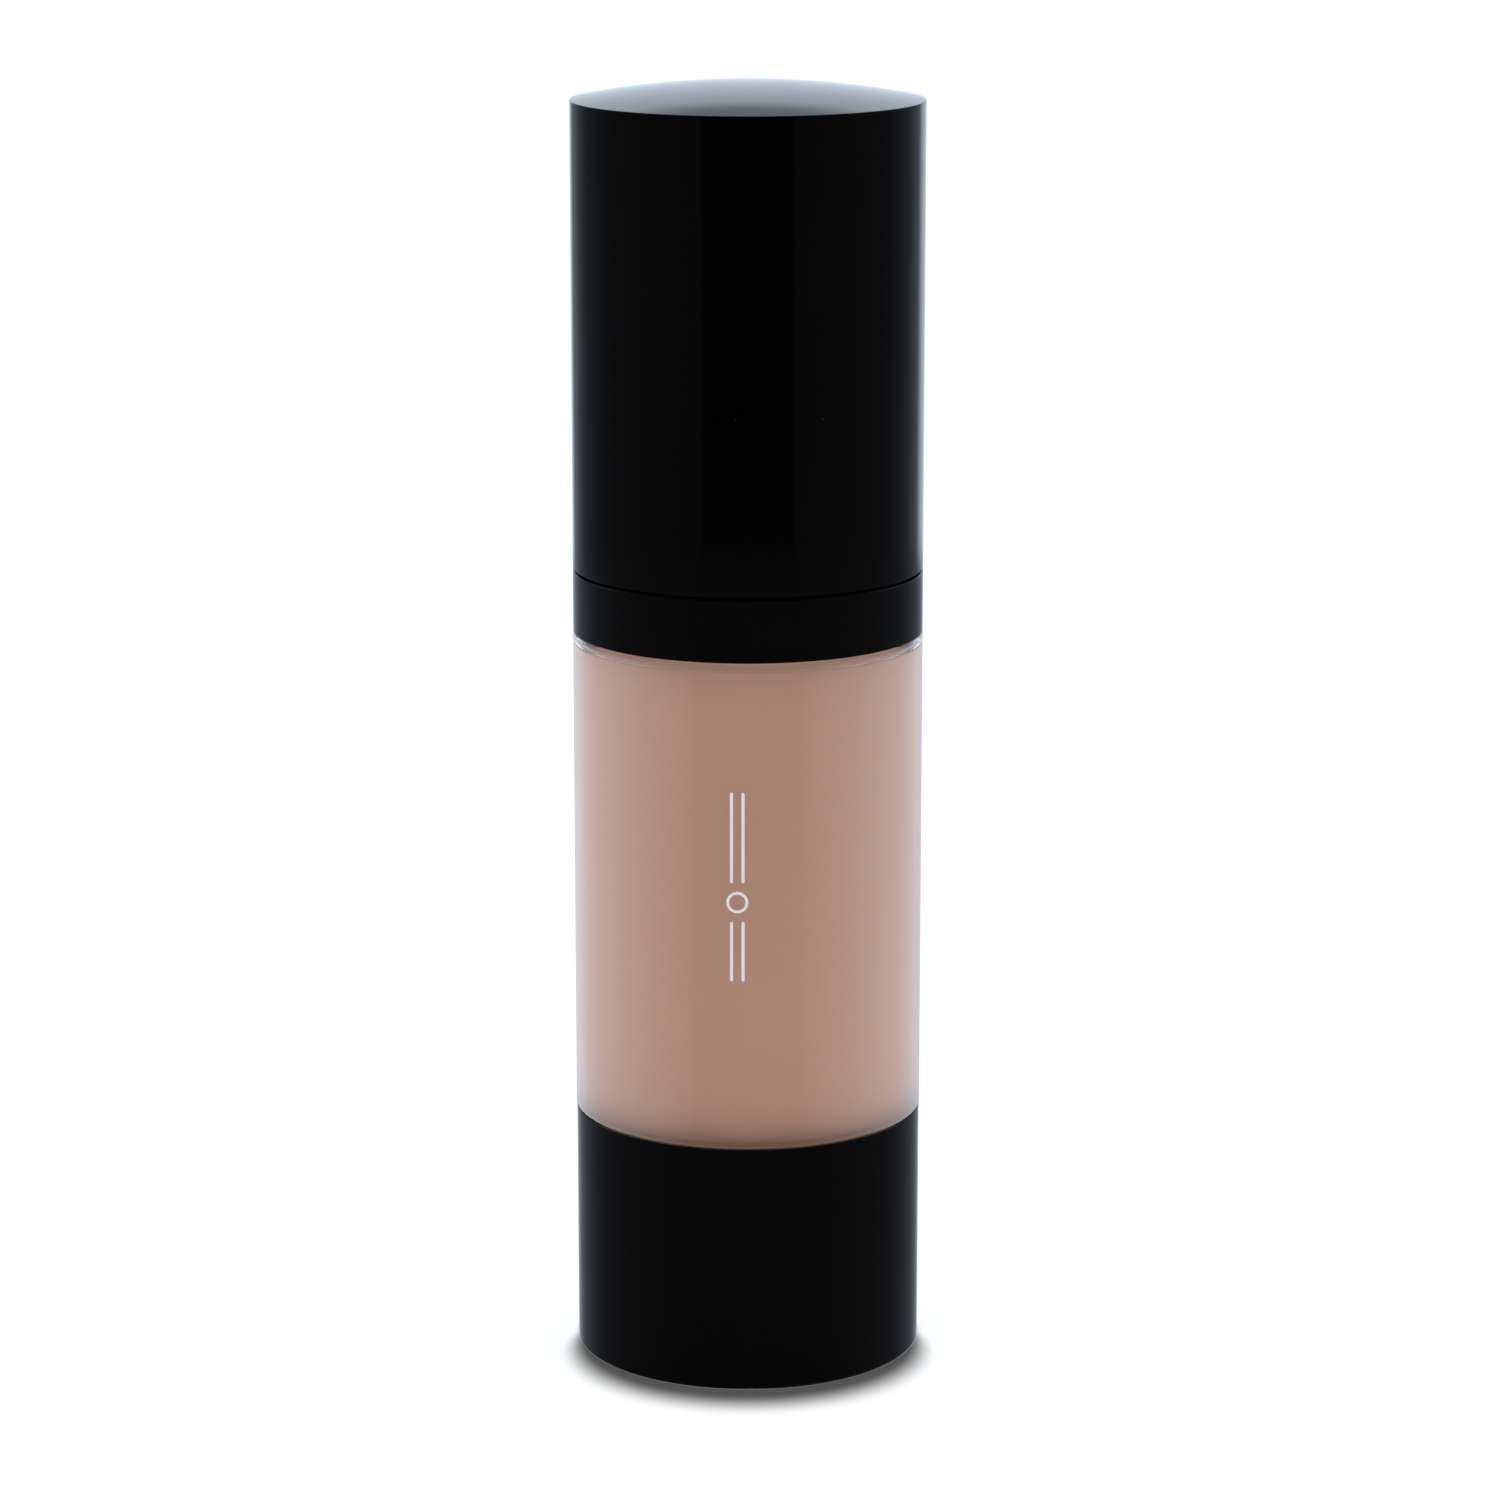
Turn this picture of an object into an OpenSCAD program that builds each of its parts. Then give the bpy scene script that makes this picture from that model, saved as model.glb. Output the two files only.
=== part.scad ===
// Airless pump bottle for liquid foundation, with an overcap.
// The origin is the centre of the underside, and +Z runs up through the overcap.
// The spout of the push button points to -Y.

/* [Outside] */
// Outer diameter of the barrel, the collar and the overcap
body_d = 34; // [33.5:0.5:36]
// Height of the base cup
base_h = 24.5; // [22:0.5:30]
// Height of the clear barrel that shows between the base and the collar
body_h = 47.6; // [40:0.2:60]
// Height of the collar ring
collar_h = 6; // [5.5:0.5:8]
// Height of the overcap's straight side
cap_h = 45; // [42:0.5:52]
// Rise of the overcap's domed top above its straight side
dome_h = 1.6; // [1:0.2:3]
// Open line between the collar and the overcap
cap_gap = 0.3; // [0.2:0.1:0.5]
// How far the base cup stands back from the barrel, on each side
base_step = 0.05; // [0.05:0.01:0.3]

/* [Barrel] */
// Thickness of the clear wall
barrel_wall = 2.5; // [2:0.1:2.8]
// Thickness of the clear top plate over the product
shoulder_t = 1.1; // [0.9:0.1:2]
// Outer radius of the neck
neck_r = 8.6; // [8.4:0.1:8.8]
// Height of the neck above the top plate
neck_h = 11.9; // [11.5:0.1:12.5]

/* [Pump] */
// Travel of the push button
stroke = 4; // [3:0.5:4]
// Bore radius of the dosing chamber
bore_r = 4.6; // [4.5:0.1:4.8]
// Outer radius of the hollow stem
stem_r = 2.6; // [2.4:0.1:2.6]
// Wire diameter of the return spring
wire_d = 0.6; // [0.4:0.1:0.6]
// Number of turns of the return spring
turns = 7; // [5:1:7]

/* [Button] */
// Radius of the push button's cover
button_r = 10.6; // [10:0.1:10.8]
// Height of the push button's cover
button_h = 14.6; // [14:0.2:17]
// How far the spout reaches from the axis
spout_reach = 13; // [12.5:0.1:13.4]

/* [Hidden] */
$fn = 96;
eps = 0.5;             // overshoot of a cutting shape past the face that it cuts
fit = 0.05;            // gap between pieces that are pressed or glued together
seal_fit = 0.04;       // radial running clearance of a sliding seal
film = 0.02;           // gap around the product

body_r = body_d / 2;
cap_wall = 1;

// Levels of the bottle, from the underside up
foot_h = 1.2;
floor_top = 2.95;
skirt_z = 4.6;
shoulder_z = base_h + body_h;
plate_top = shoulder_z + 0.85;
ceiling_z = plate_top - shoulder_t;
neck_z = shoulder_z + neck_h;
collar_z = shoulder_z + collar_h;
cap_z = collar_z + cap_gap;
rim_z = cap_z + cap_h;

// Base cup and the barrel's hidden skirt
base_r = body_r - base_step;
base_wall = 1.32;
base_bore_r = base_r - base_wall;
foot_inner_r = base_r - 2.67;
vent_r = 1;
barrel_r = body_r - barrel_wall;
skirt_r = base_bore_r - 0.1;
shoulder_r = body_r - 1.5;
rim_proud = 0.1;
rim_h = 0.9;
rim_bulge = 0.15;
rim_arc_r = (rim_h * rim_h / 4 + rim_bulge * rim_bulge) / (2 * rim_bulge);

// Follower: its top is hidden just under the rim of the base cup
follower_top = base_h - 0.7;
follower_h = 10.8;
follower_z = follower_top - follower_h;
lip_h = 1.6;
lip_r = barrel_r - seal_fit;
waist_r = barrel_r - 0.6;
follower_wall = 1.3;
well_r = 6.6;
well_depth = 6.7;

// Pump: dosing chamber, inlet valve and flange
gasket_t = 0.6;
flange_z = neck_z + gasket_t;
flange_h = 1.2;
flange_top = flange_z + flange_h;
flange_r = neck_r - 0.1;
housing_r = 6.2;
housing_step_z = ceiling_z - 3.45;
chamber_z = ceiling_z - 2.25;
inlet_z = ceiling_z - 7.45;
inlet_tip_r = 3.6;
inlet_hole_r = 0.9;
seat_r = 1.9;
seat_z = inlet_z + 1;
seat_h = 1.3;
cage_r = 2.1;
cage_top = chamber_z - 0.5;
nib_count = 3;
nib_w = 0.8;
nib_reach_r = 1.2;
ball_r = 1.5;
ball_slack = 0.03;
seat_slope = (seat_r - inlet_hole_r) / seat_h;
seat_apex_z = seat_z - inlet_hole_r / seat_slope;
ball_z = seat_apex_z + ball_r / sin(atan(seat_slope)) + ball_slack;

// Stem: the disc under it takes the spring, and the dosing piston rides between disc and shoulder
spring_h = 9;
disc_z = chamber_z + spring_h;
disc_h = 1;
disc_r = 4.1;
stem_z = disc_z + disc_h;
socket_h = 1;
shoulder_ring_z = stem_z + 4.9;
shoulder_ring_h = 1;
shoulder_ring_r = 3.3;
stem_bore_r = 1.4;
stem_top = stem_z + 18.9;
port_r = 0.45;
port_z = stem_z + socket_h + 0.55;
slip = 0.45;
piston_h = shoulder_ring_z - fit - slip - stem_z - fit;
piston_body_r = 4;
piston_counterbore_r = 3.3;
piston_counterbore_h = 2.4;

// Chaplet and closure
chaplet_z = shoulder_ring_z - 0.3;
chaplet_flange_r = 5.9;
chaplet_top = flange_top + 2.4;
closure_r = 10.2;
closure_top = flange_top + 1.2;
bead_z = neck_z - 3.5;
bead_proud = 0.3;
bead_r = 0.5;

// Collar: an outer ring, a spigot for the overcap and an inner tube on the closure
spigot_r = 15.25;
spigot_top = collar_z + 11.9;
collar_wall = 1.35;
lip_inner_r = button_r + 0.6;
grip_r = closure_r + fit;
grip_top = closure_top - 0.1;

// Button
button_z = closure_top + stroke + 0.4;
button_top = button_z + button_h;
button_wall = 1.2;
button_ceiling = button_top - 2.7;
dish_r = 8.6;
dish_depth = 1.5;
dish_ball_r = (dish_r * dish_r + dish_depth * dish_depth) / (2 * dish_depth);
boss_r = 4.2;
boss_z = chaplet_top + stroke + 0.4;
spout_z = stem_top + 2.1;
spout_r = 2.55;
spout_bore_r = 1.1;
nozzle_r = 1.7;
nozzle_bore_r = 0.6;
nozzle_len = 5;
nozzle_lip = 0.4;

// Overcap
dome_ball_r = (body_r * body_r + dome_h * dome_h) / (2 * dome_h);
dome_centre_z = rim_z + dome_h - dome_ball_r;
rim_round = 0.1;
round_centre_z = dome_centre_z + sqrt(pow(dome_ball_r - rim_round, 2) - pow(body_r - rim_round, 2));
shell_ceiling = rim_z - 1.2;
liner_r = spigot_r + fit;
liner_out_r = body_r - cap_wall - fit;
liner_top = rim_z - 3.9;

// Turns a 2D outline, drawn in the X-Z half plane, around the axis
module lathe() {
    rotate_extrude() children();
}

// Outline of a ring between two radii and two levels, with its outer corners rounded
module ring(r_in, r_out, z_low, z_high, round_low = 0, round_high = 0) {
    difference() {
        translate([r_in, z_low]) square([r_out - r_in, z_high - z_low]);
        if (round_low > 0) corner(r_out, z_low, round_low, 1);
        if (round_high > 0) corner(r_out, z_high, round_high, -1);
    }
}

// What a rounding of radius r takes off an outer corner; up is 1 at a lower corner and -1 at an upper one
module corner(r_out, z, r, up) {
    centre = [r_out - r, z + up * r];
    difference() {
        translate([centre.x, up > 0 ? z - eps : centre.y]) square([r + eps, r + eps]);
        translate(centre) circle(r = r);
    }
}

module base_cup() {
    color("#111114") difference() {
        lathe() difference() {
            ring(0, base_r, 0, base_h - 0.1, 0.4, 0.15);
            translate([-eps, -eps]) square([foot_inner_r + eps, foot_h + eps]);
            translate([-eps, floor_top]) square([base_bore_r + eps, base_h]);
        }
        translate([0, 0, -eps]) cylinder(r = vent_r, h = floor_top + 2 * eps);
    }
}

module bottom_plate() {
    plug_r = barrel_r - fit;
    color("white") difference() {
        lathe() {
            ring(0, skirt_r - 0.15, floor_top + fit, skirt_z - fit);
            ring(plug_r - follower_wall, plug_r, skirt_z - 2 * fit, follower_z - 0.1, 0, 0.2);
        }
        for (turn = [0 : 60 : 300]) {
            rotate(turn) translate([6, 0, 0]) cylinder(r = vent_r, h = skirt_z + eps);
        }
    }
}

module barrel() {
    color("gainsboro", 0.35) lathe() difference() {
        union() {
            ring(0, body_r, base_h, shoulder_z - rim_h, 0.25, 0.1);
            rim_bead();
            ring(0, shoulder_r, shoulder_z - rim_h, plate_top, 0, 0.3);
            ring(0, skirt_r, skirt_z, base_h + eps);
            ring(0, neck_r, ceiling_z, neck_z, 0, 0.2);
            translate([neck_r + bead_proud - bead_r, bead_z]) circle(r = bead_r);
        }
        translate([-eps, skirt_z - eps]) square([barrel_r + eps, ceiling_z - skirt_z + eps]);
        translate([-eps, skirt_z]) square([housing_r + 0.1 + eps, neck_z]);
    }
}

// Outline of the bulging ring that the collar sits on
module rim_bead() {
    intersection() {
        translate([body_r + rim_proud - rim_arc_r, shoulder_z - rim_h / 2]) circle(r = rim_arc_r);
        translate([0, shoulder_z - rim_h]) square([2 * body_r, rim_h]);
    }
}

module foundation_fill() {
    color("#c69a86") lathe() difference() {
        union() {
            ring(0, barrel_r - film, follower_top + film, ceiling_z - film);
            ring(0, well_r - film, follower_top - well_depth + film, follower_top + 1);
        }
        housing_outline(film);
    }
}

module follower_piston() {
    well_floor = follower_top - well_depth;
    color("white") lathe() {
        ring(well_r, waist_r, follower_top - follower_wall, follower_top);
        ring(waist_r - follower_wall, waist_r, follower_z, follower_top);
        ring(waist_r - follower_wall, lip_r, follower_z, follower_z + lip_h, 0.4, 0.4);
        ring(waist_r - follower_wall, lip_r, follower_top - lip_h, follower_top, 0.4, 0.4);
        ring(well_r, well_r + follower_wall, well_floor - follower_wall, follower_top);
        ring(0, well_r + follower_wall, well_floor - follower_wall, well_floor, 0.4);
    }
}

module neck_gasket() {
    color("lightskyblue") lathe() ring(housing_r + 0.1, flange_r, neck_z, flange_z);
}

// Outside of the pump housing below its flange, grown by gap
module housing_outline(gap = 0) {
    polygon([
        [0, inlet_z - gap],
        [inlet_tip_r + gap, inlet_z - gap],
        [inlet_tip_r + gap, housing_step_z - 1.6 - gap],
        [housing_r + gap, housing_step_z - gap],
        [housing_r + gap, flange_z + eps],
        [0, flange_z + eps]
    ]);
}

module pump_housing() {
    color("white") {
        lathe() difference() {
            union() {
                housing_outline();
                ring(0, flange_r, flange_z, flange_top, 0, 0.15);
            }
            translate([-eps, chamber_z]) square([bore_r + eps, flange_top]);
            translate([-eps, seat_z + seat_h]) square([cage_r + eps, chamber_z]);
            polygon([[0, seat_z], [inlet_hole_r, seat_z], [seat_r, seat_z + seat_h], [0, seat_z + seat_h]]);
            translate([-eps, inlet_z - eps]) square([inlet_hole_r + eps, flange_top]);
        }
        for (turn = [0 : 360 / nib_count : 359]) {
            rotate(turn) translate([nib_reach_r, -nib_w / 2, cage_top]) {
                cube([cage_r - nib_reach_r + 0.3, nib_w, chamber_z - cage_top]);
            }
        }
    }
}

module inlet_ball() {
    color("silver") translate([0, 0, ball_z]) sphere(r = ball_r);
}

// Height of the spring's wire after a number of turns: one close turn at each end, open between
function wire_z(turn) =
    let (first = chamber_z + film + wire_d / 2, last = disc_z - film - wire_d / 2)
    let (close = wire_d * 1.03, open = (last - first - 2 * close) / (turns - 2))
    turn < 1 ? first + close * turn
    : turn > turns - 1 ? last - close * (turns - turn)
    : first + close + open * (turn - 1);

module return_spring() {
    steps = 20;
    sides = 8;
    rings = turns * steps;
    coil_r = 3.3;
    points = [for (i = [0 : rings], k = [0 : sides - 1])
        let (angle = 360 * i / steps, r = coil_r + wire_d / 2 * cos(360 * k / sides))
        [r * cos(angle), r * sin(angle), wire_z(i / steps) + wire_d / 2 * sin(360 * k / sides)]];
    walls = [for (i = [0 : rings - 1], k = [0 : sides - 1])
        let (a = i * sides + k, b = i * sides + (k + 1) % sides)
        each [[a, a + sides, b + sides], [a, b + sides, b]]];
    start = [for (k = [0 : sides - 1]) k];
    finish = [for (k = [sides - 1 : -1 : 0]) rings * sides + k];
    color("silver") polyhedron(points, concat(walls, [start, finish]));
}

module stem_plug() {
    socket_r = stem_r + 0.55;
    color("white") lathe() {
        ring(0, 2.6, disc_z - 1.2, disc_z + film, 0.3);
        ring(0, disc_r, disc_z, stem_z, 0.2);
        ring(stem_r + film, socket_r, stem_z - film, stem_z + socket_h);
    }
}

module pump_stem() {
    color("white") difference() {
        lathe() {
            ring(stem_bore_r, stem_r, stem_z + film, stem_top, 0, 0.3);
            ring(stem_bore_r, shoulder_ring_r, shoulder_ring_z, shoulder_ring_z + shoulder_ring_h);
        }
        for (turn = [0, 90]) {
            rotate(turn) translate([0, 0, port_z]) rotate([90, 0, 0]) {
                cylinder(r = port_r, h = 4 * stem_r, center = true);
            }
        }
    }
}

module dosing_piston() {
    z = stem_z + fit;
    seal_r = bore_r - seal_fit;
    seal_h = 0.7;
    color("gainsboro") lathe() difference() {
        union() {
            ring(stem_r + seal_fit, piston_body_r, z, z + piston_h - 0.4);
            ring(stem_r + seal_fit, shoulder_ring_r, z, z + piston_h);
            ring(stem_r + 0.5, seal_r, z + 0.2, z + 0.2 + seal_h, 0.2, 0.2);
            ring(stem_r + 0.5, seal_r, z + piston_h - 1.3, z + piston_h - 1.3 + seal_h, 0.2, 0.2);
        }
        translate([0, z - eps]) square([piston_counterbore_r, piston_counterbore_h + eps]);
    }
}

module chaplet() {
    color("white") lathe() difference() {
        union() {
            ring(0, bore_r - film, chaplet_z, flange_top);
            ring(0, chaplet_flange_r, flange_top, closure_top, 0, 0.15);
            ring(0, 3.8, closure_top - film, chaplet_top, 0, 0.4);
        }
        translate([-eps, chaplet_z - eps]) {
            square([shoulder_ring_r + 0.15 + eps, shoulder_ring_z + shoulder_ring_h + fit - chaplet_z + eps]);
        }
        translate([-eps, chaplet_z]) square([stem_r + 0.06 + eps, chaplet_top]);
    }
}

module closure_ring() {
    color("#1a1a1d") lathe() difference() {
        ring(0, closure_r, plate_top + 0.45, closure_top, 0.1, 0.3);
        translate([-eps, shoulder_z]) square([neck_r + 0.1 + eps, flange_top + fit - shoulder_z]);
        translate([neck_r + bead_proud - bead_r, bead_z]) circle(r = bead_r + 0.08);
        translate([-eps, flange_top]) square([chaplet_flange_r + 0.1 + eps, closure_top]);
    }
}

module collar_sleeve() {
    color("#08080a") lathe() {
        ring(body_r - 1.4, body_r, shoulder_z + film, collar_z, 0.1, 0.1);
        ring(spigot_r - collar_wall, body_r, collar_z - collar_wall, collar_z, 0, 0.1);
        ring(spigot_r - collar_wall, spigot_r, collar_z - collar_wall, spigot_top, 0, 0.5);
        ring(lip_inner_r, spigot_r - 0.5, spigot_top - 1.2, spigot_top);
        ring(lip_inner_r, lip_inner_r + 1.2, grip_top - 1, spigot_top);
        ring(grip_r, lip_inner_r + 0.3, shoulder_z + 2, grip_top);
    }
}

module actuator_core() {
    disc_low = boss_z + 2.6;
    color("#2a2a2e") difference() {
        union() {
            cylinder_at(boss_r, boss_z, button_ceiling - 0.1);
            cylinder_at(button_r - button_wall - fit, disc_low, disc_low + button_wall);
            translate([0, 0, spout_z]) rotate([90, 0, 0]) cylinder(r = spout_r, h = spout_reach);
        }
        cylinder_at(stem_r + 0.03, boss_z - eps, stem_top + 0.2);
        cylinder_at(stem_bore_r, stem_top, spout_z);
        translate([0, 1, spout_z]) rotate([90, 0, 0]) cylinder(r = spout_bore_r, h = spout_reach + 1 + eps);
        translate([0, nozzle_len - nozzle_lip - spout_reach, spout_z]) rotate([90, 0, 0]) {
            cylinder(r = nozzle_r + film, h = nozzle_len);
        }
    }
}

// Plain cylinder between two levels
module cylinder_at(r, z_low, z_high) {
    translate([0, 0, z_low]) cylinder(r = r, h = z_high - z_low);
}

module actuator_cover() {
    color("#0c0c0e") difference() {
        lathe() difference() {
            ring(0, button_r, button_z, button_top, 0.2, 1);
            translate([-eps, button_z - eps]) {
                square([button_r - button_wall + eps, button_ceiling - button_z + eps]);
            }
            intersection() {
                translate([0, button_top - dish_depth + dish_ball_r]) circle(r = dish_ball_r);
                translate([-eps, button_top - dish_depth - eps]) square([dish_r + 2 * eps, 2 * dish_depth]);
            }
        }
        translate([0, 0, spout_z]) rotate([90, 0, 0]) cylinder(r = spout_r + fit, h = 2 * button_r);
    }
}

module nozzle_insert() {
    color("#2a2a2e") translate([0, -spout_reach, spout_z]) rotate([90, 0, 0]) lathe() {
        ring(nozzle_bore_r, nozzle_r, nozzle_lip - nozzle_len + film, nozzle_lip);
        ring(nozzle_bore_r, nozzle_r + 0.5, 0, nozzle_lip, 0, 0.2);
    }
}

module overcap_liner() {
    color("#16161a") lathe() difference() {
        ring(0, liner_out_r, collar_z + film, liner_top, 0.1, 0.3);
        translate([-eps, collar_z - eps]) square([liner_r + eps, liner_top - collar_z - 1.2 + eps]);
        polygon([
            [0, collar_z - eps],
            [liner_r + 0.3, collar_z - eps],
            [liner_r + 0.3, collar_z + 0.1],
            [liner_r, collar_z + 0.6],
            [0, collar_z + 0.6]
        ]);
    }
}

// Outline of the overcap: a straight side, a small rounding and a shallow dome
module overcap_outline() {
    round_centre = [body_r - rim_round, round_centre_z];
    out = [round_centre.x, round_centre.y - dome_centre_z] / (dome_ball_r - rim_round);
    difference() {
        intersection() {
            ring(0, body_r, cap_z, rim_z + dome_h + eps, 0.15);
            translate([0, dome_centre_z]) circle(r = dome_ball_r, $fn = 360);
        }
        difference() {
            polygon([
                round_centre,
                round_centre + [2, 0],
                round_centre + [2, 3],
                round_centre + 3 * out
            ]);
            translate(round_centre) circle(r = rim_round);
        }
    }
}

module overcap_shell() {
    color("#050507") lathe() difference() {
        overcap_outline();
        translate([-eps, cap_z - eps]) square([body_r - cap_wall + eps, shell_ceiling - cap_z + eps]);
    }
}

base_cup();
bottom_plate();
barrel();
foundation_fill();
follower_piston();
neck_gasket();
pump_housing();
inlet_ball();
return_spring();
stem_plug();
pump_stem();
dosing_piston();
chaplet();
closure_ring();
collar_sleeve();
actuator_core();
actuator_cover();
nozzle_insert();
overcap_liner();
overcap_shell();
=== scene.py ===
import math

import bmesh
import bpy
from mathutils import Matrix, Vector


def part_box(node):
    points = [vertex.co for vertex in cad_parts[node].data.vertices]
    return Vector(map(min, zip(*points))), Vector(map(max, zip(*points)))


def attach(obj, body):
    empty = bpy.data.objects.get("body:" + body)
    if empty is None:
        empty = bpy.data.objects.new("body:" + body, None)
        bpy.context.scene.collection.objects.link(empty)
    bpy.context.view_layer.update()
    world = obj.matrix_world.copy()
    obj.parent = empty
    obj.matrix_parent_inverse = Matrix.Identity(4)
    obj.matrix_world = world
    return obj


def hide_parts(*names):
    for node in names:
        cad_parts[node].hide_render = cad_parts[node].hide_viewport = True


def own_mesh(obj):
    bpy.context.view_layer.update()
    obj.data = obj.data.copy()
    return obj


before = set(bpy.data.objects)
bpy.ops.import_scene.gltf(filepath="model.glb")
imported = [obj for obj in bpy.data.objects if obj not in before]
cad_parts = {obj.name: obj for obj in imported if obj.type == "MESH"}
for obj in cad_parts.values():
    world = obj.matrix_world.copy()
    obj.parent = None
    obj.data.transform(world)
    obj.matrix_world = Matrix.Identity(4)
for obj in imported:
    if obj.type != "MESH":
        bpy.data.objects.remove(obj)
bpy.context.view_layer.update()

# Looks of an airless foundation bottle. Lengths are metres, +Z is up and the spout points to -Y.

MM = 0.001

# Where the neighbours of the new pieces are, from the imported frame
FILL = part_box("foundation_fill")
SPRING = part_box("return_spring")
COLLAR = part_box("collar_sleeve")

# Camera of the product picture: from the front, looking down a little
CAMERA_PLACE = (0.0002, -0.4786, 0.1688)
CAMERA_PITCH = math.radians(12.81)
CAMERA_LENS = 120.46
SENSOR = 36.0
CLIP_NEAR = 0.01
CLIP_FAR = 50.0

# Product: it reaches into the wall by WETTING, and fills the well in the follower's top
WETTING = 0.06 * MM
WELL_RADIUS = 6.56 * MM
FILL_LIFT = 0.02 * MM
FILL_BEVEL = 0.05 * MM
FILL_ROUNDING = 0.08 * MM
FILL_SIDES = 192
FILL_CREASE = math.radians(35)

# Pump spring: a round wire, with DEAD_TURN of each end closed
WIRE_DIAMETER = 0.6 * MM
WIRE_SIDES = 12
WIRE_CREASE = math.radians(50)
SPRING_TURNS = 7
TURN_STEPS = 36
DEAD_TURN = 0.75

# Printed mark on the front of the barrel
MARK_LOW = 41.2 * MM
MARK_HIGH = 59.7 * MM
MARK_AZIMUTH = math.radians(-93.4)
INK_PROUD = 0.015 * MM
STROKE = 0.3 * MM
LINE_OFFSET = 0.55 * MM
RING_SHARE = 0.42
RING_INNER = 0.78 * MM
RING_OUTER = 1.05 * MM
RING_GAP = 1.9 * MM
RING_PATCHES = 40
WELD = 1e-7

# Floor, and how far the contact shadow painted into the floor's colour reaches from the axis: it is
# painted falling forwards
FLOOR_HALF = 6.0
FLOOR_GLOW = 1.3
FLOOR_PALE = (0.58, 0.62)
PAINTED_SHADOW_GREY = 0.055
SHADE_DARK = 18.0 * MM
SHADE_FRONT = 24.5 * MM
SHADE_SIDE_DARK = 16.0 * MM
SHADE_SIDE = 17.6 * MM

# Studio by direction: each ring holds stops of (degrees from straight behind, brightness).
# The cap mirrors the first ring, and the collar and the base mirror the second. The sweep is
# the wall above both: it lights the pieces by one set of stops and is mirrored by the other.
CAP_RING = [
    (-180, 0.0), (-151, 0.0), (-149, 0.045), (-120, 0.05), (-79, 0.06), (-63, 0.09), (-52, 0.11),
    (-43, 0.17), (-35, 0.26), (-30, 0.33), (-25, 0.30), (-21, 0.45), (-17, 0.85), (-10, 1.0),
    (12, 1.0), (17, 0.93), (25, 0.97), (30, 0.73), (35, 0.31), (43, 0.24), (52, 0.16), (63, 0.11),
    (79, 0.06), (120, 0.05), (149, 0.045), (151, 0.0), (180, 0.0),
]
BASE_RING = [
    (-180, 0.048), (-140, 0.048), (-117, 0.055), (-91, 0.066), (-76, 0.08), (-63, 0.1), (-53, 0.14),
    (-43, 0.175), (-35, 0.21), (-28, 0.27), (-21, 0.38), (-14, 0.46), (-8, 0.85), (8, 0.85),
    (14, 0.46), (21, 0.34), (28, 0.24), (35, 0.19), (43, 0.165), (53, 0.13), (63, 0.095),
    (76, 0.075), (91, 0.062), (117, 0.055), (140, 0.048), (180, 0.048),
]
SWEEP_LIGHT = [(-180, 0.45), (-90, 0.5), (-60, 1.05), (60, 1.05), (90, 0.5), (180, 0.45)]
SWEEP_MIRRORED = [
    (-180, 0.04), (-90, 0.08), (-60, 0.12), (-35, 0.22), (-18, 0.9), (-12, 1.0), (12, 1.0),
    (18, 0.9), (35, 0.22), (60, 0.12), (90, 0.08), (180, 0.04),
]

# Edges between the parts of the studio, as the height Z of a direction of length 1
CARD_EDGE = (-0.19, -0.178)
TABLE_EDGE = (-0.09, -0.01)
TENT_EDGE = (0.33, 0.42)

# The tent overhead: for reflections it darkens forwards, between these two values of Y
CEILING_LIGHT = 0.5
CEILING_MIRRORED = 0.03
CEILING_FLAG = (0.0, 0.5)

# Two upright panels beside the barrel: ends in plan for the right one, height and glow
PANEL_FRONT = (0.143, -0.205)
PANEL_BACK = (0.07, 0.244)
PANEL_HEIGHT = 0.19
PANEL_CENTRE = 0.035
PANEL_FADE = (0.046, 0.085)
PANEL_COOL = (-0.08, 0.1)
PANEL_LIGHT = [
    (-150, 0.0), (-122, 0.78), (-101, 1.35), (-86, 1.55), (-60, 1.4), (-40, 1.2), (-33, 0.98),
    (-26, 0.7), (-18, 0.5), (18, 0.35), (26, 0.6), (33, 0.85), (40, 1.1), (60, 1.35), (86, 1.5),
    (101, 1.3), (122, 0.75), (150, 0.0),
]

# Tints of the studio, which is cool behind and neutral in front, and what the camera sees
TINT_EDGE = (-0.3, 0.6)
COOL = (0.88, 1.0, 1.16, 1.0)
NEUTRAL = (1.0, 1.0, 1.0, 1.0)
WARM = (1.06, 1.0, 0.94, 1.0)
BACKDROP = (1.05, 1.05, 1.05, 1.0)

# Sockets of a Mix node that blends colours
COLOUR_A = 6
COLOUR_B = 7
COLOUR_RESULT = 2


# --- node helpers -----------------------------------------------------------------------------


def shader_tree(name):
    """A new material with one Principled shader: (material, tree, shader)."""
    material = bpy.data.materials.new(name)
    material.use_nodes = True
    tree = material.node_tree
    tree.nodes.clear()
    output = tree.nodes.new("ShaderNodeOutputMaterial")
    shader = tree.nodes.new("ShaderNodeBsdfPrincipled")
    tree.links.new(shader.outputs["BSDF"], output.inputs["Surface"])
    return material, tree, shader


def put(tree, socket, value):
    """Links value to the socket if it is a socket, and sets it otherwise."""
    if isinstance(value, bpy.types.NodeSocket):
        tree.links.new(value, socket)
    else:
        socket.default_value = value


def math_node(tree, operation, *values):
    """A math node; each value is a number or a socket."""
    node = tree.nodes.new("ShaderNodeMath")
    node.operation = operation
    for socket, value in zip(node.inputs, values):
        put(tree, socket, value)
    return node.outputs[0]


def remap(tree, value, edges, to_low, to_high, smooth=False):
    """Value carried from between the two edges to between to_low and to_high."""
    node = tree.nodes.new("ShaderNodeMapRange")
    node.interpolation_type = "SMOOTHSTEP" if smooth else "LINEAR"
    put(tree, node.inputs["Value"], value)
    put(tree, node.inputs["From Min"], edges[0])
    put(tree, node.inputs["From Max"], edges[1])
    put(tree, node.inputs["To Min"], to_low)
    put(tree, node.inputs["To Max"], to_high)
    return node.outputs["Result"]


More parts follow.
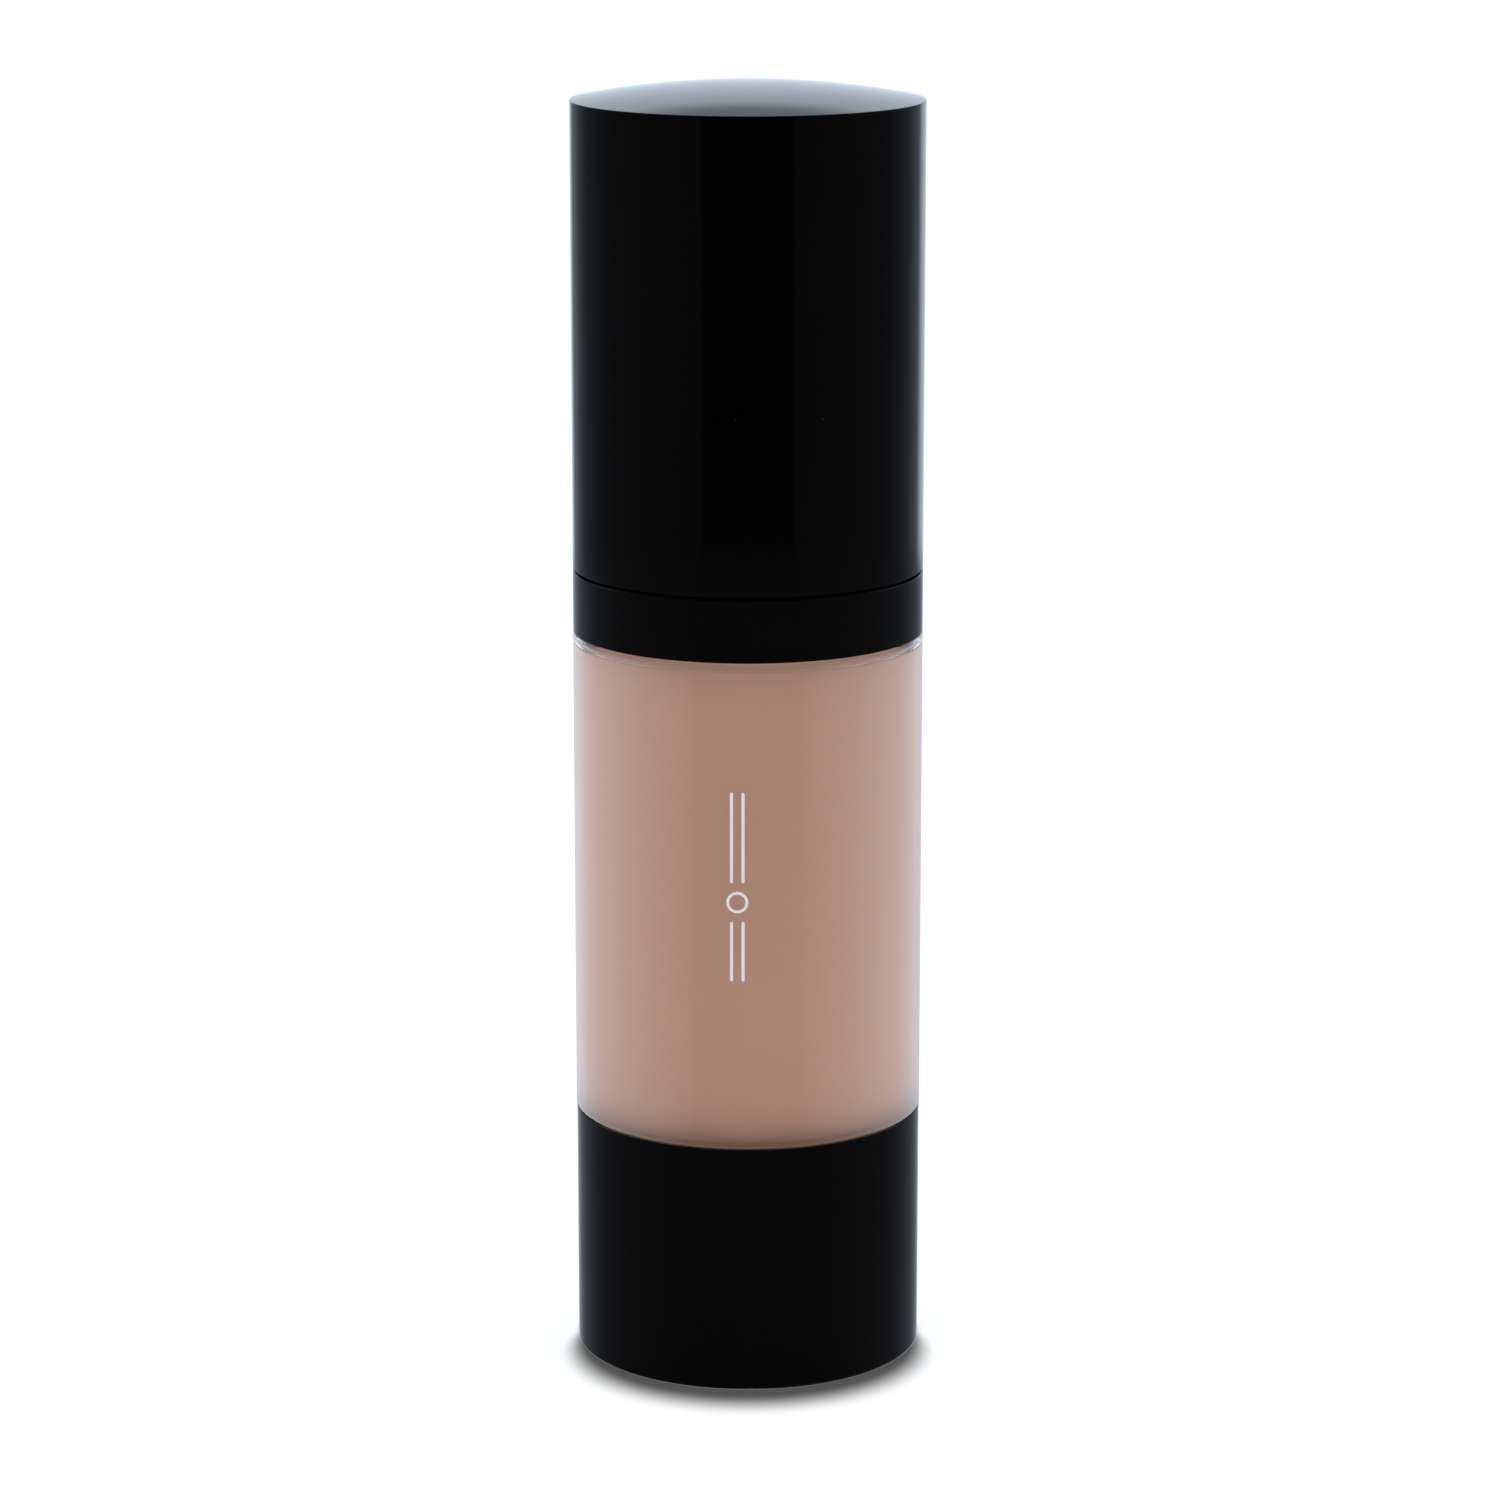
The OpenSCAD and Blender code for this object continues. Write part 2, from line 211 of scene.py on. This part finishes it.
def blend_colour(tree, factor, a, b, blend="MIX"):
    """Colour a where factor is 0, and a blended with b where it is 1."""
    node = tree.nodes.new("ShaderNodeMix")
    node.data_type = "RGBA"
    node.blend_type = blend
    put(tree, node.inputs["Factor"], factor)
    put(tree, node.inputs[COLOUR_A], a)
    put(tree, node.inputs[COLOUR_B], b)
    return node.outputs[COLOUR_RESULT]


def rgba(r, g, b):
    return (r, g, b, 1.0)


def grey(level):
    return rgba(level, level, level)


def object_place(tree, scale=(1.0, 1.0, 1.0)):
    """The piece's own coordinates in metres, stretched by scale."""
    place = tree.nodes.new("ShaderNodeTexCoord")
    mapping = tree.nodes.new("ShaderNodeMapping")
    mapping.inputs["Scale"].default_value = scale
    tree.links.new(place.outputs["Object"], mapping.inputs["Vector"])
    return mapping.outputs["Vector"]


def noise(tree, vector, scale, detail=3.0):
    node = tree.nodes.new("ShaderNodeTexNoise")
    tree.links.new(vector, node.inputs["Vector"])
    node.inputs["Scale"].default_value = scale
    node.inputs["Detail"].default_value = detail
    return node.outputs["Fac"]


def cells(tree, vector, scale):
    """Distance to the nearest of a scatter of points."""
    node = tree.nodes.new("ShaderNodeTexVoronoi")
    tree.links.new(vector, node.inputs["Vector"])
    node.inputs["Scale"].default_value = scale
    return node.outputs["Distance"]


def relief(tree, height, depth):
    """Surface normal of a height pattern that is depth metres deep."""
    node = tree.nodes.new("ShaderNodeBump")
    node.inputs["Strength"].default_value = 1.0
    node.inputs["Distance"].default_value = depth
    tree.links.new(height, node.inputs["Height"])
    return node.outputs["Normal"]


# --- materials --------------------------------------------------------------------------------

POLISHED_IOR = 1.5
MOULDED_IOR = 1.49
DUST = rgba(0.016, 0.016, 0.018)
HAIRLINE_ROUGHNESS = 0.03
BUBBLE = rgba(0.38, 0.21, 0.16)
BUBBLE_SHARE = 0.12
PATCH_EDGES = (0.3, 0.7)


def rare_dots(tree, place, scale, edges, rarity_scale):
    """Small round dots that show only here and there."""
    dots = remap(tree, cells(tree, place, scale), edges, 1.0, 0.0)
    rarity = noise(tree, place, rarity_scale, detail=1.0)
    rare = remap(tree, rarity, (0.62, 0.66), 0.0, 1.0)
    return math_node(tree, "MULTIPLY", dots, rare)


def glossy_black(name, dark, light, gloss_low, gloss_high, peel_depth):
    """Polished black moulding: faint orange peel, handling hairlines and a little dust."""
    material, tree, shader = shader_tree(name)
    place = object_place(tree)
    tint = blend_colour(tree, noise(tree, place, scale=90.0), dark, light)
    dust = rare_dots(tree, place, scale=420.0, edges=(0.03, 0.06), rarity_scale=160.0)
    put(tree, shader.inputs["Base Color"], blend_colour(tree, dust, tint, DUST))
    along_axis = object_place(tree, scale=(2600.0, 2600.0, 60.0))
    hairlines = noise(tree, along_axis, scale=1.0, detail=1.0)
    scratched = remap(tree, hairlines, (0.66, 0.72), 0.0, 1.0)
    handling = noise(tree, place, scale=60.0, detail=2.0)
    worn = remap(tree, handling, (0.35, 0.7), gloss_low, gloss_high)
    extra = math_node(tree, "MULTIPLY", scratched, HAIRLINE_ROUGHNESS)
    put(tree, shader.inputs["Roughness"], math_node(tree, "ADD", worn, extra))
    peel = noise(tree, place, scale=700.0, detail=2.0)
    put(tree, shader.inputs["Normal"], relief(tree, peel, peel_depth))
    shader.inputs["IOR"].default_value = POLISHED_IOR
    return material


def moulded(name, dark, light, rough_low, rough_high, grain, grain_depth, glow=0.0):
    """Unpolished moulding: fine spark-eroded grain, flow clouds and uneven gloss."""
    material, tree, shader = shader_tree(name)
    place = object_place(tree)
    flow = noise(tree, object_place(tree, scale=(1.0, 1.0, 0.25)), scale=220.0)
    put(tree, shader.inputs["Base Color"], blend_colour(tree, flow, dark, light))
    patches = noise(tree, place, scale=130.0, detail=2.0)
    roughness = remap(tree, patches, PATCH_EDGES, rough_low, rough_high)
    put(tree, shader.inputs["Roughness"], roughness)
    sparks = noise(tree, place, scale=grain, detail=2.0)
    put(tree, shader.inputs["Normal"], relief(tree, sparks, grain_depth))
    shader.inputs["IOR"].default_value = MOULDED_IOR
    if glow > 0.0:
        shader.inputs["Subsurface Weight"].default_value = glow
        shader.inputs["Subsurface Radius"].default_value = (1.0, 0.95, 0.85)
        shader.inputs["Subsurface Scale"].default_value = 1.2 * MM
    return material


def metal(name, colour, rough_low, rough_high, stretch):
    """Bare steel with drawing or polishing marks."""
    material, tree, shader = shader_tree(name)
    marks = noise(tree, object_place(tree, stretch), scale=900.0)
    darker = rgba(*[0.8 * part for part in colour[:3]])
    put(tree, shader.inputs["Base Color"], blend_colour(tree, marks, darker, colour))
    roughness = remap(tree, marks, PATCH_EDGES, rough_low, rough_high)
    put(tree, shader.inputs["Roughness"], roughness)
    put(tree, shader.inputs["Normal"], relief(tree, marks, 0.002 * MM))
    shader.inputs["Metallic"].default_value = 1.0
    return material


def clear_plastic(name):
    """Thick clear plastic that lets the studio light through to what is inside."""
    material, tree, shader = shader_tree(name)
    place = object_place(tree)
    shader.inputs["Base Color"].default_value = rgba(0.99, 0.985, 0.985)
    shader.inputs["Transmission Weight"].default_value = 1.0
    shader.inputs["IOR"].default_value = POLISHED_IOR
    wipe = noise(tree, object_place(tree, scale=(1.0, 1.0, 0.2)), scale=300.0, detail=2.0)
    put(tree, shader.inputs["Roughness"], remap(tree, wipe, (0.45, 0.75), 0.0, 0.02))
    ripple = noise(tree, place, scale=260.0, detail=1.0)
    put(tree, shader.inputs["Normal"], relief(tree, ripple, 0.0015 * MM))
    path = tree.nodes.new("ShaderNodeLightPath").outputs
    passing = math_node(tree, "MAXIMUM", path["Is Shadow Ray"], path["Is Diffuse Ray"])
    through = tree.nodes.new("ShaderNodeBsdfTransparent")
    through.inputs["Color"].default_value = grey(0.97)
    mix = tree.nodes.new("ShaderNodeMixShader")
    put(tree, mix.inputs[0], passing)
    tree.links.new(shader.outputs["BSDF"], mix.inputs[1])
    tree.links.new(through.outputs["BSDF"], mix.inputs[2])
    output = tree.nodes["Material Output"]
    tree.links.new(mix.outputs[0], output.inputs["Surface"])
    return material


def liquid_foundation(name):
    """Thick pigmented cream: soft scattering, slow pigment streaks and pin-head bubbles."""
    material, tree, shader = shader_tree(name)
    place = object_place(tree)
    streaks = noise(tree, object_place(tree, scale=(1.0, 1.0, 0.3)), scale=70.0)
    cream = blend_colour(tree, streaks, rgba(0.560, 0.332, 0.254), rgba(0.602, 0.362, 0.280))
    dots = rare_dots(tree, place, scale=330.0, edges=(0.03, 0.07), rarity_scale=120.0)
    soft_dots = math_node(tree, "MULTIPLY", dots, BUBBLE_SHARE)
    put(tree, shader.inputs["Base Color"], blend_colour(tree, soft_dots, cream, BUBBLE))
    shader.inputs["Roughness"].default_value = 0.6
    shader.inputs["Specular IOR Level"].default_value = 0.0
    shader.inputs["Subsurface Weight"].default_value = 0.5
    shader.inputs["Subsurface Radius"].default_value = (1.0, 0.55, 0.4)
    shader.inputs["Subsurface Scale"].default_value = 1.6 * MM
    return material


def printed_ink(name):
    """Silk-screened white ink, slightly uneven in cover."""
    material, tree, shader = shader_tree(name)
    cover = noise(tree, object_place(tree), scale=2500.0)
    tint = blend_colour(tree, cover, rgba(0.86, 0.85, 0.84), grey(0.98))
    put(tree, shader.inputs["Base Color"], tint)
    put(tree, shader.inputs["Roughness"], remap(tree, cover, PATCH_EDGES, 0.35, 0.5))
    put(tree, shader.inputs["Normal"], relief(tree, cover, 0.004 * MM))
    return material


def pale_floor(name):
    """White sweep with a soft contact shadow round the bottle's foot, painted into its colour and
    its glow.
    """
    material, tree, shader = shader_tree(name)
    place = object_place(tree, scale=(1.0, 1.0, 0.0))
    distance = tree.nodes.new("ShaderNodeVectorMath")
    distance.operation = "LENGTH"
    tree.links.new(place, distance.inputs[0])
    away = distance.outputs["Value"]
    split = tree.nodes.new("ShaderNodeSeparateXYZ")
    tree.links.new(place, split.inputs[0])
    forward = math_node(tree, "DIVIDE", split.outputs[1], away)
    front_to_side = (-1.0, 0.0)
    reach = remap(tree, forward, front_to_side, SHADE_FRONT, SHADE_SIDE)
    start = remap(tree, forward, front_to_side, SHADE_DARK, SHADE_SIDE_DARK)
    # Painted shadow: dark near the foot, fading out further towards the front than at the sides
    outside_painted_shadow = remap(tree, away, (start, reach), 0.0, 1.0, smooth=True)
    pale_low, pale_high = FLOOR_PALE
    clouds = noise(tree, place, scale=40.0)
    paper = blend_colour(tree, clouds, grey(pale_low), grey(pale_high))
    # The painted shadow darkens both the floor's colour and its glow
    paper_with_painted_shadow = blend_colour(tree, outside_painted_shadow, grey(PAINTED_SHADOW_GREY), paper)
    put(tree, shader.inputs["Base Color"], paper_with_painted_shadow)
    put(tree, shader.inputs["Emission Color"], paper_with_painted_shadow)
    shader.inputs["Emission Strength"].default_value = FLOOR_GLOW
    shader.inputs["Roughness"].default_value = 0.9
    shader.inputs["Specular IOR Level"].default_value = 0.0
    return material


# --- pieces -----------------------------------------------------------------------------------


def lathe_mesh(name, outline, steps):
    """A closed solid of revolution round Z from an outline of (radius, height), axis to axis."""
    mesh = bpy.data.meshes.new(name)
    build = bmesh.new()
    rings = []
    for radius, height in outline:
        if radius == 0.0:
            rings.append([build.verts.new((0.0, 0.0, height))])
            continue
        ring = []
        for step in range(steps):
            angle = 2 * math.pi * step / steps
            place = (radius * math.cos(angle), radius * math.sin(angle), height)
            ring.append(build.verts.new(place))
        rings.append(ring)
    for low, high in zip(rings, rings[1:]):
        for step in range(steps):
            after = (step + 1) % steps
            if len(low) == 1:
                build.faces.new((low[0], high[step], high[after]))
            elif len(high) == 1:
                build.faces.new((low[step], low[after], high[0]))
            else:
                build.faces.new((low[step], low[after], high[after], high[step]))
    bmesh.ops.recalc_face_normals(build, faces=build.faces)
    build.to_mesh(mesh)
    build.free()
    return mesh


def add_piece(name, mesh, material):
    piece = bpy.data.objects.new(name, mesh)
    bpy.context.scene.collection.objects.link(piece)
    mesh.materials.append(material)
    return piece


def shade_smooth(mesh, angle):
    """Smooth shading that keeps the edges sharper than angle."""
    mesh.shade_smooth()
    mesh.set_sharp_from_angle(angle=angle)


def arc(centre, radius, start, end, steps):
    """Points (across, height) of a round stretch between two angles in degrees."""
    points = []
    for step in range(steps + 1):
        angle = math.radians(start + (end - start) * step / steps)
        points.append((centre[0] + radius * math.cos(angle), centre[1] + radius * math.sin(angle)))
    return points


def make_fill(material):
    """The product, wetting the clear wall so that no air line shows between them."""
    low = FILL[0].z
    high = FILL[1].z + WETTING
    radius = FILL[1].x + WETTING
    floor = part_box("follower_piston")[1].z + FILL_LIFT
    outline = [(0.0, low), (WELL_RADIUS, low), (WELL_RADIUS, floor)]
    outline += [(radius - FILL_BEVEL, floor), (radius, floor + FILL_BEVEL)]
    centre = (radius - FILL_ROUNDING, high - FILL_ROUNDING)
    outline += arc(centre, FILL_ROUNDING, start=0, end=90, steps=8)
    outline += [(0.0, high)]
    mesh = lathe_mesh("product_fill", outline, FILL_SIDES)
    shade_smooth(mesh, FILL_CREASE)
    piece = add_piece("product_fill", mesh, material)
    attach(piece, "bottle")
    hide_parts("foundation_fill")
    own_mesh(piece)
    return piece


def spring_path(coil_radius, low, high):
    """Centre line of a compression spring with closed end turns."""
    points = []
    bottom = low + WIRE_DIAMETER / 2
    live_turns = SPRING_TURNS - 2 * DEAD_TURN
    live_rise = high - low - WIRE_DIAMETER - 2 * DEAD_TURN * WIRE_DIAMETER
    for step in range(SPRING_TURNS * TURN_STEPS + 1):
        turn = step / TURN_STEPS
        live = min(max(turn - DEAD_TURN, 0.0), live_turns)
        dead = min(turn, DEAD_TURN) + max(turn - (SPRING_TURNS - DEAD_TURN), 0.0)
        height = bottom + dead * WIRE_DIAMETER + live / live_turns * live_rise
        angle = 2 * math.pi * turn
        place = (coil_radius * math.cos(angle), coil_radius * math.sin(angle), height)
        points.append(Vector(place))
    return points


def tube_mesh(name, path, radius, sides):
    """A round wire along a path, with closed ends."""
    mesh = bpy.data.meshes.new(name)
    build = bmesh.new()
    rings = []
    last = len(path) - 1
    for number, point in enumerate(path):
        along = (path[min(number + 1, last)] - path[max(number - 1, 0)]).normalized()
        outward = Vector((point.x, point.y, 0.0)).normalized()
        across = along.cross(outward).normalized()
        outward = across.cross(along).normalized()
        ring = []
        for side in range(sides):
            angle = 2 * math.pi * side / sides
            offset = outward * math.cos(angle) + across * math.sin(angle)
            ring.append(build.verts.new(point + radius * offset))
        rings.append(ring)
    for near, far in zip(rings, rings[1:]):
        for side in range(sides):
            after = (side + 1) % sides
            build.faces.new((near[side], near[after], far[after], far[side]))
    build.faces.new(rings[0])
    build.faces.new(rings[-1])
    bmesh.ops.recalc_face_normals(build, faces=build.faces)
    build.to_mesh(mesh)
    build.free()
    return mesh


def make_spring(material):
    """The pump's return spring, closed up from its lower end by the press."""
    low = SPRING[0].z
    high = SPRING[1].z
    coil_radius = SPRING[1].x - WIRE_DIAMETER / 2
    path = spring_path(coil_radius, low, high)
    mesh = tube_mesh("pump_spring", path, WIRE_DIAMETER / 2, WIRE_SIDES)
    shade_smooth(mesh, WIRE_CREASE)
    piece = add_piece("pump_spring", mesh, material)
    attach(piece, "bottle")
    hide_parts("return_spring")
    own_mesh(piece)
    return piece


def curved_patch(build, inner, outer, corners):
    """A thin closed ink shape on the barrel; corners are (distance round the wall, height)."""
    shell = []
    for radius in (inner, outer):
        ring = []
        for across, height in corners:
            angle = MARK_AZIMUTH + across / outer
            place = (radius * math.cos(angle), radius * math.sin(angle), height)
            ring.append(build.verts.new(place))
        shell.append(ring)
    under, top = shell
    build.faces.new(under)
    build.faces.new(top)
    for number in range(len(corners)):
        after = (number + 1) % len(corners)
        build.faces.new((under[number], under[after], top[after], top[number]))


def rounded_bar(across, low, high, width):
    """Outline of a hairline with round ends."""
    half = width / 2
    top = arc((across, high - half), half, start=0, end=180, steps=8)
    bottom = arc((across, low + half), half, start=180, end=360, steps=8)
    return top + bottom


def ink_ring(build, inner, outer, centre):
    """An open ring of ink, built from short curved patches."""
    for patch in range(RING_PATCHES):
        start = 2 * math.pi * patch / RING_PATCHES
        end = 2 * math.pi * (patch + 1) / RING_PATCHES
        corners = [
            (RING_INNER * math.cos(start), centre + RING_INNER * math.sin(start)),
            (RING_OUTER * math.cos(start), centre + RING_OUTER * math.sin(start)),
            (RING_OUTER * math.cos(end), centre + RING_OUTER * math.sin(end)),
            (RING_INNER * math.cos(end), centre + RING_INNER * math.sin(end)),
        ]
        curved_patch(build, inner, outer, corners)


def make_mark(material):
    """Plain printed mark: two pairs of hairlines and a ring between them.

    It lies on the barrel's wall, which is flush with the collar.
    """
    wall = COLLAR[1].x
    inner = wall - INK_PROUD
    outer = wall + INK_PROUD
    mesh = bpy.data.meshes.new("printed_mark")
    build = bmesh.new()
    ring_z = MARK_LOW + RING_SHARE * (MARK_HIGH - MARK_LOW)
    for across in (-LINE_OFFSET, LINE_OFFSET):
        lower_line = rounded_bar(across, MARK_LOW, ring_z - RING_GAP, STROKE)
        upper_line = rounded_bar(across, ring_z + RING_GAP, MARK_HIGH, STROKE)
        curved_patch(build, inner, outer, lower_line)
        curved_patch(build, inner, outer, upper_line)
    ink_ring(build, inner, outer, ring_z)
    bmesh.ops.remove_doubles(build, verts=build.verts, dist=WELD)
    bmesh.ops.recalc_face_normals(build, faces=build.faces)
    build.to_mesh(mesh)
    build.free()
    piece = add_piece("printed_mark", mesh, material)
    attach(piece, "bottle")
    return piece


# --- stage ------------------------------------------------------------------------------------


def make_floor(material):
    """The pale floor, which glossy reflections don't see."""
    mesh = bpy.data.meshes.new("floor")
    corners = [(-1, -1), (1, -1), (1, 1), (-1, 1)]
    points = [(x * FLOOR_HALF, y * FLOOR_HALF, 0.0) for x, y in corners]
    mesh.from_pydata(points, [], [(0, 1, 2, 3)])
    floor = bpy.data.objects.new("floor", mesh)
    bpy.context.scene.collection.objects.link(floor)
    mesh.materials.append(material)
    floor.visible_glossy = False


def azimuth_ramp(tree, x, y, stops):
    """Brightness round the studio; stops are (degrees from straight behind, brightness)."""
    turn = math_node(tree, "ARCTAN2", x, y)
    position = math_node(tree, "MULTIPLY_ADD", turn, 1 / (2 * math.pi), 0.5)
    node = tree.nodes.new("ShaderNodeValToRGB")
    elements = node.color_ramp.elements
    places = [(0.5 + degrees / 360, grey(light)) for degrees, light in stops]
    elements[0].position, elements[0].color = places[0]
    elements[1].position, elements[1].color = places[-1]
    for place, colour in places[1:-1]:
        elements.new(place).color = colour
    tree.links.new(position, node.inputs["Fac"])
    return node.outputs["Color"]


def studio_light():
    """Bright cool backdrop, dark front and a white tent overhead."""
    world = bpy.data.worlds.new("studio")
    bpy.context.scene.world = world
    world.use_nodes = True
    tree = world.node_tree
    tree.nodes.clear()
    direction = tree.nodes.new("ShaderNodeTexCoord")
    split = tree.nodes.new("ShaderNodeSeparateXYZ")
    tree.links.new(direction.outputs["Generated"], split.inputs[0])
    x, y, z = split.outputs
    high_ring = azimuth_ramp(tree, x, y, CAP_RING)
    low_ring = azimuth_ramp(tree, x, y, BASE_RING)
    above_card = remap(tree, z, CARD_EDGE, 0.0, 1.0, smooth=True)
    low = blend_colour(tree, above_card, low_ring, high_ring)
    path = tree.nodes.new("ShaderNodeLightPath")
    glossy = path.outputs["Is Glossy Ray"]
    sweep_direct = azimuth_ramp(tree, x, y, SWEEP_LIGHT)
    sweep_mirrored = azimuth_ramp(tree, x, y, SWEEP_MIRRORED)
    sweep = blend_colour(tree, glossy, sweep_direct, sweep_mirrored)
    above_table = remap(tree, z, TABLE_EDGE, 0.0, 1.0, smooth=True)
    above_sweep = remap(tree, z, TENT_EDGE, 0.0, 1.0, smooth=True)
    walls = blend_colour(tree, above_table, low, sweep)
    facing_front = remap(tree, y, CEILING_FLAG, 1.0, 0.0, smooth=True)
    flagged = math_node(tree, "MULTIPLY", facing_front, glossy)
    ceiling = remap(tree, flagged, (0.0, 1.0), CEILING_LIGHT, CEILING_MIRRORED)
    light = blend_colour(tree, above_sweep, walls, ceiling)
    behind = remap(tree, y, TINT_EDGE, 0.0, 1.0, smooth=True)
    tint = blend_colour(tree, behind, NEUTRAL, COOL)
    tinted = blend_colour(tree, 1.0, light, tint, "MULTIPLY")
    background = tree.nodes.new("ShaderNodeBackground")
    background.inputs["Strength"].default_value = 1.0
    seen = blend_colour(tree, path.outputs["Is Camera Ray"], tinted, BACKDROP)
    tree.links.new(seen, background.inputs["Color"])
    output = tree.nodes.new("ShaderNodeOutputWorld")
    tree.links.new(background.outputs[0], output.inputs["Surface"])


def linked_panel(name, side, receiver):
    """An upright light panel beside the bottle that only shows as a sheen on one piece."""
    front = Vector((side * PANEL_FRONT[0], PANEL_FRONT[1], PANEL_CENTRE))
    back = Vector((side * PANEL_BACK[0], PANEL_BACK[1], PANEL_CENTRE))
    along = back - front
    data = bpy.data.lights.new(name, "AREA")
    data.shape = "RECTANGLE"
    data.size = along.length
    data.size_y = PANEL_HEIGHT
    data.energy = math.pi * along.length * PANEL_HEIGHT
    data.use_nodes = True
    tree = data.node_tree
    emission = tree.nodes["Emission"]
    geometry = tree.nodes.new("ShaderNodeNewGeometry")
    split = tree.nodes.new("ShaderNodeSeparateXYZ")
    tree.links.new(geometry.outputs["Position"], split.inputs[0])
    x, y, z = split.outputs
    fade = remap(tree, z, PANEL_FADE, 1.0, 0.0, smooth=True)
    glow = math_node(tree, "MULTIPLY", azimuth_ramp(tree, x, y, PANEL_LIGHT), fade)
    tree.links.new(glow, emission.inputs["Strength"])
    cool = remap(tree, y, PANEL_COOL, 0.0, 1.0)
    put(tree, emission.inputs["Color"], blend_colour(tree, cool, WARM, COOL))
    light = bpy.data.objects.new(name, data)
    light.location = (front + back) / 2
    inward = Vector((-side * along.y, side * along.x, 0.0))
    light.rotation_euler = inward.to_track_quat("-Z", "Y").to_euler()
    light.visible_camera = False
    light.visible_diffuse = False
    light.visible_transmission = False
    bpy.context.scene.collection.objects.link(light)
    group = bpy.data.collections.new(name + "_receivers")
    group.objects.link(receiver)
    light.light_linking.receiver_collection = group


def add_camera():
    """A long lens at the picture's viewing angle."""
    data = bpy.data.cameras.new("product_camera")
    data.lens = CAMERA_LENS
    data.sensor_width = SENSOR
    data.clip_start = CLIP_NEAR
    data.clip_end = CLIP_FAR
    camera = bpy.data.objects.new("product_camera", data)
    camera.location = CAMERA_PLACE
    camera.rotation_euler = (math.pi / 2 - CAMERA_PITCH, 0.0, 0.0)
    bpy.context.scene.collection.objects.link(camera)
    bpy.context.scene.camera = camera


# --- build ------------------------------------------------------------------------------------

gloss = glossy_black(
    "black_gloss",
    dark=rgba(0.0006, 0.0006, 0.0009),
    light=rgba(0.0012, 0.0011, 0.0016),
    gloss_low=0.02,
    gloss_high=0.05,
    peel_depth=0.0012 * MM,
)
satin = glossy_black(
    "black_satin",
    dark=rgba(0.0009, 0.0006, 0.0011),
    light=rgba(0.0016, 0.0011, 0.0018),
    gloss_low=0.04,
    gloss_high=0.08,
    peel_depth=0.0016 * MM,
)
inner_black = moulded(
    "black_inner",
    dark=rgba(0.012, 0.012, 0.014),
    light=rgba(0.022, 0.022, 0.025),
    rough_low=0.35,
    rough_high=0.5,
    grain=1500.0,
    grain_depth=0.006 * MM,
)
white = moulded(
    "white_plastic",
    dark=rgba(0.82, 0.82, 0.80),
    light=rgba(0.88, 0.88, 0.86),
    rough_low=0.3,
    rough_high=0.45,
    grain=1500.0,
    grain_depth=0.005 * MM,
    glow=0.3,
)
soft_white = moulded(
    "soft_white_plastic",
    dark=rgba(0.78, 0.78, 0.73),
    light=rgba(0.84, 0.84, 0.80),
    rough_low=0.45,
    rough_high=0.6,
    grain=1200.0,
    grain_depth=0.008 * MM,
    glow=0.5,
)
natural = moulded(
    "natural_plastic",
    dark=rgba(0.74, 0.75, 0.74),
    light=rgba(0.82, 0.83, 0.82),
    rough_low=0.25,
    rough_high=0.4,
    grain=1300.0,
    grain_depth=0.005 * MM,
    glow=0.7,
)
rubber = moulded(
    "gasket",
    dark=rgba(0.50, 0.61, 0.67),
    light=rgba(0.58, 0.69, 0.74),
    rough_low=0.7,
    rough_high=0.85,
    grain=2200.0,
    grain_depth=0.012 * MM,
    glow=0.2,
)
ball_steel = metal(
    "steel_ball", grey(0.78), rough_low=0.04, rough_high=0.1, stretch=(1.0, 1.0, 1.0)
)
wire_steel = metal(
    "spring_steel", rgba(0.62, 0.62, 0.61), rough_low=0.2, rough_high=0.35, stretch=(1.0, 1.0, 6.0)
)
clear = clear_plastic("clear_plastic")
cream = liquid_foundation("foundation")
ink = printed_ink("printed_ink")

FINISH = {
    "base_cup": satin,
    "bottom_plate": white,
    "barrel": clear,
    "foundation_fill": cream,
    "follower_piston": soft_white,
    "neck_gasket": rubber,
    "pump_housing": natural,
    "inlet_ball": ball_steel,
    "return_spring": wire_steel,
    "stem_plug": white,
    "pump_stem": white,
    "dosing_piston": soft_white,
    "chaplet": white,
    "closure_ring": inner_black,
    "collar_sleeve": gloss,
    "actuator_core": inner_black,
    "actuator_cover": gloss,
    "nozzle_insert": inner_black,
    "overcap_liner": inner_black,
    "overcap_shell": gloss,
}
for node_name, material in FINISH.items():
    for material_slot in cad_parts[node_name].material_slots:
        material_slot.material = material

make_fill(cream)
make_spring(wire_steel)
make_mark(ink)
make_floor(pale_floor("floor"))
studio_light()
linked_panel("sheen_left", -1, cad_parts["barrel"])
linked_panel("sheen_right", 1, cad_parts["barrel"])
add_camera()
bpy.context.scene.view_settings.view_transform = "Standard"
